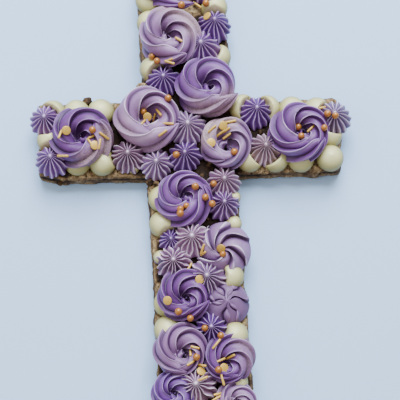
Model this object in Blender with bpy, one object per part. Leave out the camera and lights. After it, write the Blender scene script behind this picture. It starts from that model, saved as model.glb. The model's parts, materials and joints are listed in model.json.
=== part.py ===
"""Cookie cake: a cookie slab cut as a Latin cross, covered with piped buttercream.

Run it in Blender 4.5 with blender --background --python part.py, or from the text editor.
Lengths are in metres, +Z is up, the cross stands along Y and its bar lies along X.
The cookie is one solid. Each rosette, petal flower and star drop is a solid of its own.
The plain kisses along the border touch each other, so each short run of them is one solid.
"""
import math
import random

import bmesh
import bpy
from mathutils import Matrix, Vector
from mathutils.bvhtree import BVHTree

NAME = "cookie_cake"
FULL_TURN = 2.0 * math.pi
GAP = 0.0003                    # room kept between pieces that touch
WELD = 0.00001
SNAP = 0.00005                 # corners this near a cut move onto it

# The cookie, cut by hand, so that its shaft leans a little against its bar.
THICKNESS = 0.014
SHAFT_WIDTH = 0.070
SHAFT_LEAN = 0.030              # sideways drift of the shaft for each metre along it
SHAFT_OFFSET = 0.0017
SHAFT_HEAD = 0.184
SHAFT_FOOT = -0.190
BAR_LEFT = -0.118
BAR_RIGHT = 0.118
BAR_LOW = 0.0055
BAR_HIGH_LEFT = 0.0685
BAR_HIGH_RIGHT = 0.0658         # the right arm is cut a little narrower
BROKEN_CORNER = (0.016, 0.0035)  # how far the broken corner of the left arm reaches along and up
CRUMB_STEP = 0.0080             # spacing of the points along the cut edge
CRUMB_ROUGHNESS = 0.0007
CORNER_WEAR = 0.0015
CHIP_BUMP = 0.0012              # how far a chocolate chip stands out of the side
CHIP_SHARE = 0.09
EDGE_ROWS = [(0.0, 0.0012), (0.0030, 0.0), (0.0118, 0.0004), (THICKNESS, 0.0022)]  # height, inset
COOKIE_SEED = 11

# Rosettes: name, x, y, radius, direction of the tail in degrees, sideways place of the eye, shade.
ROSETTES = [
    ("rosette_head", -0.0195, 0.1610, 0.0178, -30, (0.000, 0.000), "mid"),
    ("rosette_top", -0.0125, 0.1165, 0.0240, -52, (-0.001, 0.001), "pale"),
    ("rosette_upper_right", 0.0145, 0.0745, 0.0235, -20, (0.002, 0.000), "mid"),
    ("rosette_left_inner", -0.0320, 0.0500, 0.0250, -25, (0.002, 0.000), "pale"),
    ("rosette_left_arm", -0.0820, 0.0370, 0.0245, 47, (-0.002, 0.001), "violet"),
    ("rosette_centre", 0.0285, 0.0290, 0.0205, -100, (0.002, -0.003), "grey"),
    ("rosette_right_arm", 0.0845, 0.0350, 0.0235, -19, (0.005, 0.004), "violet"),
    ("rosette_below_bar", -0.0050, -0.0150, 0.0220, 38, (0.000, 0.006), "mid"),
    ("rosette_low_left", -0.0075, -0.0875, 0.0200, -20, (0.001, -0.001), "violet"),
    ("rosette_foot_left", -0.0115, -0.1285, 0.0200, -85, (0.005, 0.002), "pale"),
    ("rosette_foot_right", 0.0250, -0.1360, 0.0190, -50, (-0.004, -0.003), "mid"),
    ("rosette_end_left", -0.0175, -0.1610, 0.0165, -20, (0.000, 0.000), "dark"),
    ("rosette_end_right", 0.0280, -0.1690, 0.0155, 200, (0.000, 0.000), "pale"),
]
ICING_SPREAD = 1.04             # soft icing settles a little wider than it was piped
ROSETTE_ARMS = 7
ROSETTE_HEIGHT = 0.76           # of the radius
ROSETTE_SWEEP = math.radians(150.0)

# Petal flowers: name, x, y, radius, petals, sweep of the petals in degrees, raised middle, shade.
FLOWERS = [
    ("flower_pinwheel", 0.0235, -0.0530, 0.0208, 7, 80, False, "grey"),
    ("flower_petals", 0.0245, -0.0950, 0.0170, 6, 15, True, "grey"),
]
FLOWER_HEIGHT = 0.72

# Star drops: name, x, y, radius, shade.
STARS = [
    ("star_head", 0.0168, 0.1590, 0.0140, "dark"),
    ("star_top_right", 0.0225, 0.1260, 0.0135, "dark"),
    ("star_top_middle", 0.0120, 0.1070, 0.0155, "mid"),
    ("star_top_left", -0.0187, 0.0820, 0.0130, "dark"),
    ("star_left_high", -0.1110, 0.0530, 0.0124, "mid"),
    ("star_left_low", -0.1060, 0.0205, 0.0133, "mid"),
    ("star_bar_left", -0.0475, 0.0220, 0.0135, "mauve"),
    ("star_bar_inner", -0.0255, 0.0145, 0.0125, "grey"),
    ("star_cross", -0.0010, 0.0435, 0.0145, "grey"),
    ("star_cross_low", -0.0030, 0.0205, 0.0130, "dark"),
    ("star_bar_right", 0.0525, 0.0540, 0.0130, "dark"),
    ("star_bar_right_low", 0.0585, 0.0240, 0.0132, "rose"),
    ("star_right_end", 0.1130, 0.0475, 0.0138, "blue"),
    ("star_shaft_right", 0.0255, -0.0010, 0.0130, "mauve"),
    ("star_shaft_right_low", 0.0250, -0.0185, 0.0125, "mid"),
    ("star_small", -0.0160, -0.0450, 0.0095, "dark"),
    ("star_shaft_middle", -0.0005, -0.0450, 0.0148, "rose"),
    ("star_shaft_left", -0.0150, -0.0620, 0.0136, "rose"),
    ("star_shaft_centre", 0.0105, -0.0755, 0.0150, "grey"),
    ("star_foot_centre", 0.0120, -0.1130, 0.0125, "dark"),
    ("star_foot_large", -0.0007, -0.1550, 0.0155, "rose"),
]
STAR_RIDGES = 14
STAR_HEIGHT = 1.08              # of the radius

# Rows of border kisses: name, middle of the first kiss, middle of the last, how many.
KISS_ROWS = [
    ("left_high", (-0.1055, 0.0590), (-0.0680, 0.0588), 3),
    ("left_end", (-0.1075, 0.0375), (-0.1075, 0.0375), 1),
    ("left_low", (-0.0867, 0.0195), (-0.0480, 0.0170), 3),
    ("head_left", (-0.0265, 0.0925), (-0.0285, 0.1500), 4),
    ("head_right", (0.0245, 0.1010), (0.0235, 0.1420), 3),
    ("head_end", (-0.0190, 0.1755), (0.0205, 0.1740), 3),
    ("right_high", (0.0425, 0.0590), (0.1000, 0.0545), 4),
    ("right_end", (0.1085, 0.0345), (0.1085, 0.0160), 2),
    ("right_low", (0.0466, 0.0175), (0.0858, 0.0160), 3),
    ("shaft_left", (-0.0222, -0.0120), (-0.0222, -0.0320), 2),
    ("shaft_left_low", (-0.0198, -0.0735), (-0.0205, -0.1130), 3),
    ("shaft_right", (0.0265, -0.0120), (0.0278, -0.0740), 4),
    ("foot_side", (0.0295, -0.1190), (0.0297, -0.1545), 2),
    ("foot_end", (-0.0175, -0.1790), (0.0215, -0.1790), 3),
]
KISS_RADIUS = 0.0106
KISS_HEIGHT = 0.0110
KISS_SIDES = 10
KISS_LEAST = 0.10               # a kiss that shows less of itself than this is left out
TUCK = math.radians(36.0)       # slope of the hollow in which a kiss tucks under a rosette's rim

# Sprinkles: piece, middle of the scatter from its centre, spread, pearls, discs, rods.
SPRINKLES = [
    ("rosette_top", (0.004, -0.001), 0.006, 0, 0, 1),
    ("rosette_left_inner", (0.002, 0.004), 0.009, 1, 1, 4),
    ("rosette_left_arm", (0.000, -0.001), 0.011, 1, 2, 5),
    ("rosette_centre", (0.002, 0.003), 0.008, 1, 2, 3),
    ("rosette_right_arm", (0.006, 0.001), 0.008, 3, 0, 2),
    ("rosette_below_bar", (0.003, 0.001), 0.010, 4, 0, 0),
    ("rosette_low_left", (-0.002, -0.006), 0.010, 2, 1, 0),
    ("rosette_foot_left", (0.008, 0.000), 0.006, 1, 0, 3),
    ("rosette_foot_right", (-0.003, -0.002), 0.007, 1, 1, 2),
    ("rosette_end_right", (-0.003, 0.003), 0.005, 0, 1, 1),
    ("flower_pinwheel", (-0.002, -0.002), 0.003, 1, 0, 1),
    ("star_top_right", (-0.003, 0.005), 0.003, 0, 1, 0),
    ("star_right_end", (-0.004, -0.001), 0.005, 2, 0, 1),
    ("star_foot_centre", (0.001, -0.001), 0.006, 2, 0, 0),
    ("star_foot_large", (0.003, 0.003), 0.005, 0, 1, 2),
    ("star_shaft_centre", (-0.006, -0.001), 0.003, 0, 1, 1),
]
PEARL_RADIUS = 0.0027
DISC_RADIUS = 0.0034
DISC_THICKNESS = 0.0014
ROD_RADIUS = 0.0009
ROD_LENGTH = 0.0085
SPRINKLE_MARGIN = 0.0048        # from a sprinkle's middle to the neighbouring piece
SPRINKLE_SEED = 5
GOLDEN_ANGLE = math.radians(137.5)

# Colours: base colour and roughness of each icing shade, of the ivory icing and of the cookie.
SHADES = {
    "pale": (0.42, 0.34, 0.54), "mid": (0.24, 0.16, 0.38), "violet": (0.20, 0.12, 0.38),
    "dark": (0.11, 0.06, 0.22), "grey": (0.36, 0.30, 0.42), "mauve": (0.32, 0.23, 0.38),
    "rose": (0.42, 0.33, 0.44), "blue": (0.26, 0.22, 0.42),
    "ivory": (0.78, 0.74, 0.58), "cookie": (0.23, 0.16, 0.10),
}
ICING_ROUGHNESS = 0.55
COOKIE_ROUGHNESS = 0.90


def clear_scene():
    """Remove every object, mesh and material that the scene starts with."""
    for thing in list(bpy.data.objects):
        bpy.data.objects.remove(thing, do_unlink=True)
    for block in list(bpy.data.meshes):
        bpy.data.meshes.remove(block)
    for block in list(bpy.data.materials):
        bpy.data.materials.remove(block)


def new_collection(name):
    """A collection in the scene."""
    group = bpy.data.collections.new(name)
    bpy.context.scene.collection.children.link(group)
    return group


def make_material(shade):
    """A plain Principled material in one of the shades, made once."""
    known = bpy.data.materials.get(shade)
    if known:
        return known
    paint = bpy.data.materials.new(shade)
    paint.use_nodes = True
    shader = paint.node_tree.nodes["Principled BSDF"]
    shader.inputs["Base Color"].default_value = (*SHADES[shade], 1.0)
    shader.inputs["Roughness"].default_value = COOKIE_ROUGHNESS if shade == "cookie" else ICING_ROUGHNESS
    shader.inputs["Metallic"].default_value = 0.0
    return paint


def make_object(name, solid, shade, group, smooth=True):
    """Turn a bmesh into a named object with its material."""
    bmesh.ops.recalc_face_normals(solid, faces=solid.faces)
    mesh = bpy.data.meshes.new(name)
    for face in solid.faces:
        face.smooth = smooth
    solid.to_mesh(mesh)
    solid.free()
    mesh.materials.append(make_material(shade))
    thing = bpy.data.objects.new(name, mesh)
    group.objects.link(thing)
    return thing


# ---------------------------------------------------------------- the cookie

def shaft_edge(y, side):
    """X of the shaft's left (-1) or right (+1) edge at a height along the cross."""
    return SHAFT_OFFSET - SHAFT_LEAN * y + side * SHAFT_WIDTH / 2.0


def cross_corners():
    """The corners of the cross, anticlockwise from the left of its foot."""
    return [
        Vector((shaft_edge(SHAFT_FOOT, -1), SHAFT_FOOT)), Vector((shaft_edge(SHAFT_FOOT, 1), SHAFT_FOOT)),
        Vector((shaft_edge(BAR_LOW, 1), BAR_LOW)), Vector((BAR_RIGHT, BAR_LOW)),
        Vector((BAR_RIGHT, BAR_HIGH_RIGHT)), Vector((shaft_edge(BAR_HIGH_RIGHT, 1), BAR_HIGH_RIGHT)),
        Vector((shaft_edge(SHAFT_HEAD, 1), SHAFT_HEAD)), Vector((shaft_edge(SHAFT_HEAD, -1), SHAFT_HEAD)),
        Vector((shaft_edge(BAR_HIGH_LEFT, -1), BAR_HIGH_LEFT)), Vector((BAR_LEFT, BAR_HIGH_LEFT)),
        Vector((BAR_LEFT, BAR_LOW + BROKEN_CORNER[1])), Vector((BAR_LEFT + BROKEN_CORNER[0], BAR_LOW)),
        Vector((shaft_edge(BAR_LOW, -1), BAR_LOW)),
    ]


def cut_outline():
    """Points along the cross's edge with their outward directions, the worn corners among them."""
    corners = cross_corners()
    points = []
    for before, start, end in zip(corners[-1:] + corners[:-1], corners, corners[1:] + corners[:1]):
        arriving, leaving = start - before, end - start
        inward = (leaving.normalized() - arriving.normalized()) / 2.0
        bend = 1.0 if arriving.cross(leaving) > 0.0 else -1.0
        points.append((start + inward * CORNER_WEAR, -bend * inward.normalized()))
        outward = Vector((leaving.y, -leaving.x)).normalized()
        steps = max(2, round(leaving.length / CRUMB_STEP))
        points += [(start + leaving * (k + 0.5) / steps, outward) for k in range(steps)]
    return points


def make_cookie(group):
    """The slab: its cut edge extruded up in rows, each row with its own crumbs and chips."""
    draw = random.Random(COOKIE_SEED)
    outline = cut_outline()
    chips = [CHIP_BUMP if draw.random() < CHIP_SHARE else 0.0 for _ in outline]
    solid = bmesh.new()
    rows = []
    for height, inset in EDGE_ROWS:
        row = []
        for (spot, outward), chip in zip(outline, chips):
            rough = draw.uniform(-1.0, 1.0) * CRUMB_ROUGHNESS
            bump = chip if 0.0 < height < THICKNESS else 0.0
            place = spot + outward * (rough + bump - inset)
            row.append(solid.verts.new((place.x, place.y, height)))
        for first, second in zip(row, row[1:] + row[:1]):
            solid.edges.new((first, second))
        rows.append(row)
    for lower, upper in zip(rows, rows[1:]):
        loops = [edge for edge in solid.edges if is_level(edge, lower) or is_level(edge, upper)]
        bmesh.ops.bridge_loops(solid, edges=loops)
    bmesh.ops.holes_fill(solid, edges=solid.edges, sides=0)
    return make_object("cookie", solid, "cookie", group, smooth=False)


def is_level(edge, row):
    """Whether an edge lies along one row of the cookie's side."""
    height = row[0].co.z
    return all(abs(vert.co.z - height) < WELD for vert in edge.verts)


# ---------------------------------------------------------------- piped pieces

class Piece:
    """Where one large piped piece stands, and how far it reaches."""

    def __init__(self, name, x, y, radius, shade):
        self.name = name
        self.centre = Vector((x, y))
        self.radius = ICING_SPREAD * radius
        self.shade = shade
        self.points = []


def turned_solid(profile, columns):
    """Spin a profile of (radius, height) points, from the axis down to the foot, and close it below."""
    solid = bmesh.new()
    chain = [solid.verts.new((radius, 0.0, height)) for radius, height in profile]
    edges = [solid.edges.new(pair) for pair in zip(chain, chain[1:])]
    bmesh.ops.spin(solid, geom=chain + edges, cent=(0, 0, 0), axis=(0, 0, 1), angle=FULL_TURN,
                   steps=columns, use_merge=True)
    bmesh.ops.remove_doubles(solid, verts=solid.verts, dist=WELD)
    bmesh.ops.holes_fill(solid, edges=[edge for edge in solid.edges if edge.is_boundary], sides=0)
    return solid


def level_of(vert, profile):
    """Which point of the profile a spun vertex came from."""
    radius = math.hypot(vert.co.x, vert.co.y)
    return min(range(len(profile)), key=lambda k: abs(profile[k][0] - radius) + abs(profile[k][1] - vert.co.z))


def dome_profile(radius, height):
    """A low dome of icing that rises to a point, from the peak to the foot."""
    shape = [(0.0, 1.0), (0.22, 0.90), (0.50, 0.80), (0.80, 0.62), (1.0, 0.36), (0.96, 0.16), (0.84, 0.0)]
    return [(share * radius, rise * height) for share, rise in shape]


def ring_profile(radius, height, eye):
    """A ring of icing about a sunken eye, as (radius, height) points from the eye to the foot."""
    middle, half = 0.56 * radius, 0.44 * radius
    centre = 0.45 * height
    profile = [(0.0, eye * height)]
    for roll in (28.0, 60.0, 92.0, 124.0, 156.0, 192.0):
        angle = math.radians(roll)
        profile.append((middle - half * math.cos(angle), centre + (height - centre) * math.sin(angle)))
    profile.append((0.80 * radius, 0.0))
    return profile


def ridge_depth(column, per_ridge):
    """How far a column lies below the crest: nothing on a crest, most in the crease beside it."""
    place = column % per_ridge
    return [0.0, 1.0, 0.45][place] if per_ridge == 3 else [0.0, 1.0][place]


def swirl(solid, profile, ridges, per_ridge, sweep, depth, tail, growth):
    """Twist a turned solid into a swirl of ridges, wider towards the tail than just after it."""
    step = FULL_TURN / (ridges * per_ridge)
    last = len(profile) - 1
    for vert in solid.verts:
        level = level_of(vert, profile)
        if level == 0:
            continue
        angle = math.atan2(vert.co.y, vert.co.x)
        column = round(angle / step) % (ridges * per_ridge)
        share = level / last
        radius = math.hypot(vert.co.x, vert.co.y)
        drop = depth * ridge_depth(column, per_ridge) * math.sin(math.pi * min(1.0, 0.15 + share))
        turned = angle - sweep * share
        lap = ((turned - tail) / FULL_TURN) % 1.0
        radius *= (1.0 - drop) * (1.0 + growth * (lap - 0.4) * share)
        vert.co = Vector((radius * math.cos(turned), radius * math.sin(turned), vert.co.z * (1.0 - 0.5 * drop)))


def shift_middle(solid, profile, eye):
    """Slide the eye and the inner rings sideways, and leave the rim where it is."""
    rim = max(radius for radius, height in profile)
    for vert in solid.verts:
        share = max(0.0, 1.0 - vert.co.xy.length / rim)
        vert.co.x += eye[0] * share
        vert.co.y += eye[1] * share


def meeting_planes(piece, pieces):
    """Upright planes at which a piece is squeezed flat by the pieces it meets: direction and limit."""
    planes = []
    for other in pieces:
        away = other.centre - piece.centre
        distance = away.length
        if other is piece or distance > 1.15 * (piece.radius + other.radius):
            continue
        share = (distance ** 2 + piece.radius ** 2 - other.radius ** 2) / (2.0 * distance)
        planes.append((away / distance, share - GAP / 2.0))
    return planes


def press(solid, planes):
    """Draw in whatever reaches past a plane, towards the piece's own middle."""
    for vert in solid.verts:
        shrink = 1.0
        for direction, limit in planes:
            reach = vert.co.xy.dot(direction)
            if reach > limit:
                shrink = min(shrink, limit / reach)
        vert.co.x *= shrink
        vert.co.y *= shrink


def place_piece(piece, solid, group):
    """Stand a finished piece on the cookie and note its points."""
    lift = Vector((piece.centre.x, piece.centre.y, THICKNESS + GAP))
    bmesh.ops.translate(solid, vec=lift, verts=solid.verts)
    piece.points = [vert.co.copy() for vert in solid.verts]
    return make_object(piece.name, solid, piece.shade, group)


def make_rosette(piece, tail, eye, pieces, group):
    """A rosette: seven ridges that sweep clockwise outwards from a deep eye."""
    profile = ring_profile(piece.radius, ROSETTE_HEIGHT * piece.radius, 0.16)
    solid = turned_solid(profile, 3 * ROSETTE_ARMS)
    swirl(solid, profile, ROSETTE_ARMS, 3, ROSETTE_SWEEP, 0.17, math.radians(tail), 0.16)
    shift_middle(solid, profile, eye)
    press(solid, meeting_planes(piece, pieces))
    return place_piece(piece, solid, group)


def make_flower(piece, petals, sweep, raised, pieces, group):
    """A petal flower: broad petals round a sunken or a raised middle."""
    height = FLOWER_HEIGHT * piece.radius
    profile = dome_profile(piece.radius, height) if raised else ring_profile(piece.radius, height, 0.30)
    solid = turned_solid(profile, 3 * petals)
    swirl(solid, profile, petals, 3, math.radians(sweep), 0.15, 0.0, 0.0)
    press(solid, meeting_planes(piece, pieces))
    return place_piece(piece, solid, group)


def make_star(piece, turn, pieces, group):
    """A star drop: straight ridges that run down from a peak."""
    height = STAR_HEIGHT * piece.radius
    profile = [(0.0, height), (0.40 * piece.radius, 0.76 * height), (0.99 * piece.radius, 0.33 * height),
               (0.90 * piece.radius, 0.0)]
    solid = turned_solid(profile, 2 * STAR_RIDGES)
    swirl(solid, profile, STAR_RIDGES, 2, 0.0, 0.20, 0.0, 0.0)
    bmesh.ops.rotate(solid, cent=(0, 0, 0), matrix=Matrix.Rotation(turn, 3, "Z"), verts=solid.verts)
    press(solid, meeting_planes(piece, pieces))
    return place_piece(piece, solid, group)


# ---------------------------------------------------------------- border kisses

def kiss_solid(middle):
    """One plain kiss: a soft dome that is widest just above its foot."""
    profile = [(0.0, KISS_HEIGHT), (0.66 * KISS_RADIUS, 0.78 * KISS_HEIGHT), (KISS_RADIUS, 0.30 * KISS_HEIGHT),
               (0.94 * KISS_RADIUS, 0.0)]
    solid = turned_solid(profile, KISS_SIDES)
    bmesh.ops.translate(solid, vec=(middle.x, middle.y, THICKNESS + GAP), verts=solid.verts)
    return solid


def cut_away(solid, point, normal):
    """Cut off what lies on the far side of a plane, and close the cut."""
    geometry = list(solid.verts) + list(solid.edges) + list(solid.faces)
    bmesh.ops.bisect_plane(solid, geom=geometry, dist=SNAP, plane_co=point, plane_no=normal, clear_outer=True)
    open_edges = [edge for edge in solid.edges if edge.is_boundary]
    if open_edges:
        bmesh.ops.holes_fill(solid, edges=open_edges, sides=0)


def tuck_under(solid, middle, pieces):
    """Cut a kiss back where the rims of larger pieces cover it."""
    for piece in pieces:
        away = middle - piece.centre
        if away.length > piece.radius * 1.25 + KISS_RADIUS:
            continue
        flat = away.normalized()
        toward = Vector((flat.x * math.cos(TUCK), flat.y * math.cos(TUCK), -math.sin(TUCK)))
        reach = max(point.dot(toward) for point in piece.points)
        cut_away(solid, toward * (reach + GAP), -toward)


def border_kisses(pieces):
    """The kisses that show, each with the name of its row."""
    whole = kiss_solid(Vector((0.0, 0.0)))
    least = KISS_LEAST * whole.calc_volume(signed=False)
    whole.free()
    kisses = []
    for name, start, end, count in KISS_ROWS:
        for k in range(count):
            middle = Vector(start).lerp(Vector(end), k / max(1, count - 1))
            solid = kiss_solid(middle)
            tuck_under(solid, middle, pieces)
            if solid.verts and solid.calc_volume(signed=False) > least:
                kisses.append((name, solid))
            else:
                solid.free()
    return kisses


def make_kisses(pieces, group):
    """The border: kisses that touch are joined, and each one that stands apart is its own object."""
    kisses = border_kisses(pieces)
    trees = [BVHTree.FromBMesh(solid) for _, solid in kisses]
    owner = list(range(len(kisses)))
    for later in range(len(kisses)):
        for earlier in range(later):
            if trees[earlier].overlap(trees[later]):
                old, new = owner[later], owner[earlier]
                owner = [new if mark == old else mark for mark in owner]
    used = {}
    for mark in sorted(set(owner)):
        row = kisses[mark][0]
        used[row] = used.get(row, 0) + 1
        members = [solid for (_, solid), place in zip(kisses, owner) if place == mark]
        join_solids(f"kisses_{row}_{used[row]}", members, group)


def join_solids(name, solids, group):
    """Join overlapping solids into one object by a Boolean union."""
    body = make_object(name, solids[0], "ivory", group)
    if len(solids) > 1:
        extras = new_collection(name + "_extras")
        for number, solid in enumerate(solids[1:]):
            make_object(f"{name}_extra_{number}", solid, "ivory", extras)
        unite(body, extras)


def unite(body, extras):
    """Fuse everything in a collection onto a body, then remove the collection."""
    union = body.modifiers.new("union", "BOOLEAN")
    union.operation = "UNION"
    union.operand_type = "COLLECTION"
    union.collection = extras
    union.solver = "EXACT"
    bpy.context.view_layer.update()
    evaluated = body.evaluated_get(bpy.context.evaluated_depsgraph_get())
    fused = bpy.data.meshes.new_from_object(evaluated)
    body.modifiers.clear()
    body.data = fused
    for thing in list(extras.objects):
        bpy.data.objects.remove(thing, do_unlink=True)
    bpy.data.collections.remove(extras)


# ---------------------------------------------------------------- sprinkles

def pearl():
    """A sugar pearl."""
    solid = bmesh.new()
    bmesh.ops.create_icosphere(solid, subdivisions=1, radius=PEARL_RADIUS)
    return solid


def disc():
    """A flat round confetti piece."""
    solid = bmesh.new()
    bmesh.ops.create_cone(solid, cap_ends=True, segments=6, radius1=DISC_RADIUS, radius2=DISC_RADIUS,
                          depth=DISC_THICKNESS)
    return solid


def rod():
    """A short round rod, lying along X."""
    solid = bmesh.new()
    bmesh.ops.create_cone(solid, cap_ends=True, segments=4, radius1=ROD_RADIUS, radius2=ROD_RADIUS,
                          depth=ROD_LENGTH)
    bmesh.ops.rotate(solid, cent=(0, 0, 0), matrix=Matrix.Rotation(math.pi / 2.0, 3, "Y"), verts=solid.verts)
    return solid


def scatter_spots(offset, spread, count, planes, draw):
    """Plan offsets round a point, spread by the golden angle and kept clear of the neighbours."""
    start = draw.uniform(0.0, FULL_TURN)
    spots = []
    for k in range(count):
        angle = start + k * GOLDEN_ANGLE
        reach = spread * math.sqrt((k + 0.5) / count)
        spot = Vector(offset) + reach * Vector((math.cos(angle), math.sin(angle)))
        room = [(limit - SPRINKLE_MARGIN) / spot.dot(direction) for direction, limit in planes
                if spot.dot(direction) > limit - SPRINKLE_MARGIN]
        spots.append(spot * max(0.0, min(room + [1.0])))
    return spots


def drop_onto(surface, spot, centre):
    """Where a sprinkle dropped at a spot lands, moved in towards the centre if it would miss."""
    hit, normal, _, _ = surface.ray_cast(Vector((spot.x, spot.y, 1.0)), Vector((0, 0, -1)))
    if hit is None:
        return drop_onto(surface, spot.lerp(centre, 0.2), centre)
    return hit, normal


def add_sprinkles(body, piece, row, planes, draw):
    """Fuse a piece's pearls, discs and rods to the icing that they lie on."""
    _, offset, spread, pearls, discs, rods = row
    kinds = [pearl] * pearls + [disc] * discs + [rod] * rods
    surface = BVHTree.FromPolygons([vert.co for vert in body.data.vertices],
                                   [list(face.vertices) for face in body.data.polygons])
    extras = new_collection(piece.name + "_extras")
    spots = scatter_spots(offset, spread, len(kinds), planes, draw)
    for number, (kind, spot) in enumerate(zip(kinds, spots)):
        hit, normal = drop_onto(surface, piece.centre + spot, piece.centre)
        solid = kind()
        turn = Matrix.Rotation(draw.uniform(0.0, FULL_TURN), 4, "Z")
        lean = Vector((0, 0, 1)).rotation_difference(normal.lerp(Vector((0, 0, 1)), 0.5).normalized())
        lift = 0.0012 if kind is pearl else 0.0001
        place = Matrix.Translation(hit + Vector((0, 0, lift))) @ lean.to_matrix().to_4x4() @ turn
        bmesh.ops.transform(solid, matrix=place, verts=solid.verts)
        make_object(f"{piece.name}_sprinkle_{number}", solid, piece.shade, extras)
    unite(body, extras)


# ---------------------------------------------------------------- the whole cake

def make_pieces(group):
    """All rosettes, flowers and stars, each squeezed against the ones beside it."""
    rosettes = [(Piece(name, x, y, radius, shade), tail, eye) for name, x, y, radius, tail, eye, shade in ROSETTES]
    flowers = [(Piece(name, x, y, radius, shade), petals, sweep, raised)
               for name, x, y, radius, petals, sweep, raised, shade in FLOWERS]
    stars = [Piece(name, x, y, radius, shade) for name, x, y, radius, shade in STARS]
    pieces = [row[0] for row in rosettes] + [row[0] for row in flowers] + stars
    bodies = {}
    for piece, tail, eye in rosettes:
        bodies[piece.name] = make_rosette(piece, tail, eye, pieces, group)
    for piece, petals, sweep, raised in flowers:
        bodies[piece.name] = make_flower(piece, petals, sweep, raised, pieces, group)
    for number, piece in enumerate(stars):
        bodies[piece.name] = make_star(piece, 0.1 * number, pieces, group)
    return pieces, bodies


def centre_on_origin(group):
    """Hang everything from one empty that puts the middle of the underside at the origin."""
    points = [vert.co for thing in group.objects for vert in thing.data.vertices]
    middle_x = (min(point.x for point in points) + max(point.x for point in points)) / 2.0
    middle_y = (min(point.y for point in points) + max(point.y for point in points)) / 2.0
    carrier = bpy.data.objects.new("cake_origin", None)
    carrier.location = (-middle_x, -middle_y, 0.0)
    for thing in group.objects:
        thing.parent = carrier
    group.objects.link(carrier)


def main():
    clear_scene()
    group = new_collection(NAME)
    make_cookie(group)
    pieces, bodies = make_pieces(group)
    make_kisses(pieces, group)
    draw = random.Random(SPRINKLE_SEED)
    by_name = {piece.name: piece for piece in pieces}
    for row in SPRINKLES:
        piece = by_name[row[0]]
        add_sprinkles(bodies[row[0]], piece, row, meeting_planes(piece, pieces), draw)
    centre_on_origin(group)
    bpy.context.view_layer.update()


main()
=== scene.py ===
"""Cookie cake, dressed: piped buttercream, sprinkles, crumb and stage over the packed solids.

Lengths are in metres, +Z is up. Run it in Blender 4.5; each step is an operator of the Cake panel.
"""
import functools
import json
import math
import random

import bmesh
import bpy
from mathutils import Matrix, Vector, noise
from mathutils.bvhtree import BVHTree

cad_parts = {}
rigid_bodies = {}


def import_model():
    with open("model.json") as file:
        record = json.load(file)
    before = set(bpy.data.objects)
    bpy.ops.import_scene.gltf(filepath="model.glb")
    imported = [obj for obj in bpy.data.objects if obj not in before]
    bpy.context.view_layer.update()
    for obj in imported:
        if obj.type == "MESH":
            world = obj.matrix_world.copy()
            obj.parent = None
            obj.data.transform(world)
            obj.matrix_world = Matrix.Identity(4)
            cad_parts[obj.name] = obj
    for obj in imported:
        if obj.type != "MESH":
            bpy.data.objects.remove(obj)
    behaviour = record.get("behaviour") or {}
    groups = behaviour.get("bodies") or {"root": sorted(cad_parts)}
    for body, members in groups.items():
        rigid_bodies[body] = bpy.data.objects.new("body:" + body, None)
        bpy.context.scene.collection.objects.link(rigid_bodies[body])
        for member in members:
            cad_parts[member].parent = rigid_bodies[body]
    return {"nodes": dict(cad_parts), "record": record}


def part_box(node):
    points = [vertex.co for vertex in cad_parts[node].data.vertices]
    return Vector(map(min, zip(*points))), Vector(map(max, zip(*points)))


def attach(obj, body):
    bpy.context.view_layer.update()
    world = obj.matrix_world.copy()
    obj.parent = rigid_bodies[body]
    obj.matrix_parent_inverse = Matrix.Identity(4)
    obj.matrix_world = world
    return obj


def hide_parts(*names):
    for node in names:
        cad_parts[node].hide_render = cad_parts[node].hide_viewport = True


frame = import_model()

bl_info = {
    "name": "Cookie cake",
    "version": (1, 0, 0),
    "blender": (4, 5, 0),
    "location": "3D View > Sidebar > Cake",
    "description": "Pipes the buttercream, bakes the crumb and scatters the sprinkles of a cookie cake",
    "category": "Object",
}

FULL_TURN = 2.0 * math.pi
MM = 0.001
WELD = 0.00001
DROP_FROM = 0.2                 # height above every piece, from which things are dropped
LEAST_RIDGES = 16               # a peak or an eye has at least this many edges
BODY = "root"
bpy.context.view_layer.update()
SLOTS = {part["node"]: part["material_slot"] for part in frame["record"]["subparts"]}
COOKIE_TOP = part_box("cookie")[1][2]

# Proportions shared with the solids.
ROSETTE_FOOT = 0.80             # radius of a rosette's foot, of its own radius
ROSETTE_HEIGHT = 0.76
ROSETTE_EYE = 0.16              # height of a rosette's eye, of the rosette's height
FLOWER_HEIGHT = 0.72
FLOWER_EYE = 0.30
STAR_HEIGHT = 1.08
KISS_RADIUS = 0.0106
KISS_HEIGHT = 0.0110
KISS_SIDES = 10
KISS_RINGS = [(0.94, 0.0), (1.0, 0.30)]  # radius and height of the two widest rings of a kiss's solid
SLOT_TOLERANCE = 0.00004
CRACK_HEIGHT = 0.0098           # of the recessed seam under the cookie's crust, painted dark as its shadow
CRACK_WIDTH = 0.0017

# How far the eye of a rosette's solid stands off the rosette's middle, in millimetres.
EYE_LEANS = {
    "rosette_top": (-1.0, 1.0), "rosette_upper_right": (2.0, 0.0), "rosette_left_inner": (2.0, 0.0),
    "rosette_left_arm": (-2.0, 1.0), "rosette_centre": (2.0, -3.0), "rosette_right_arm": (5.0, 4.0),
    "rosette_below_bar": (0.0, 6.0), "rosette_low_left": (1.0, -1.0), "rosette_foot_left": (5.0, 2.0),
    "rosette_foot_right": (-4.0, -3.0),
}
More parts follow.
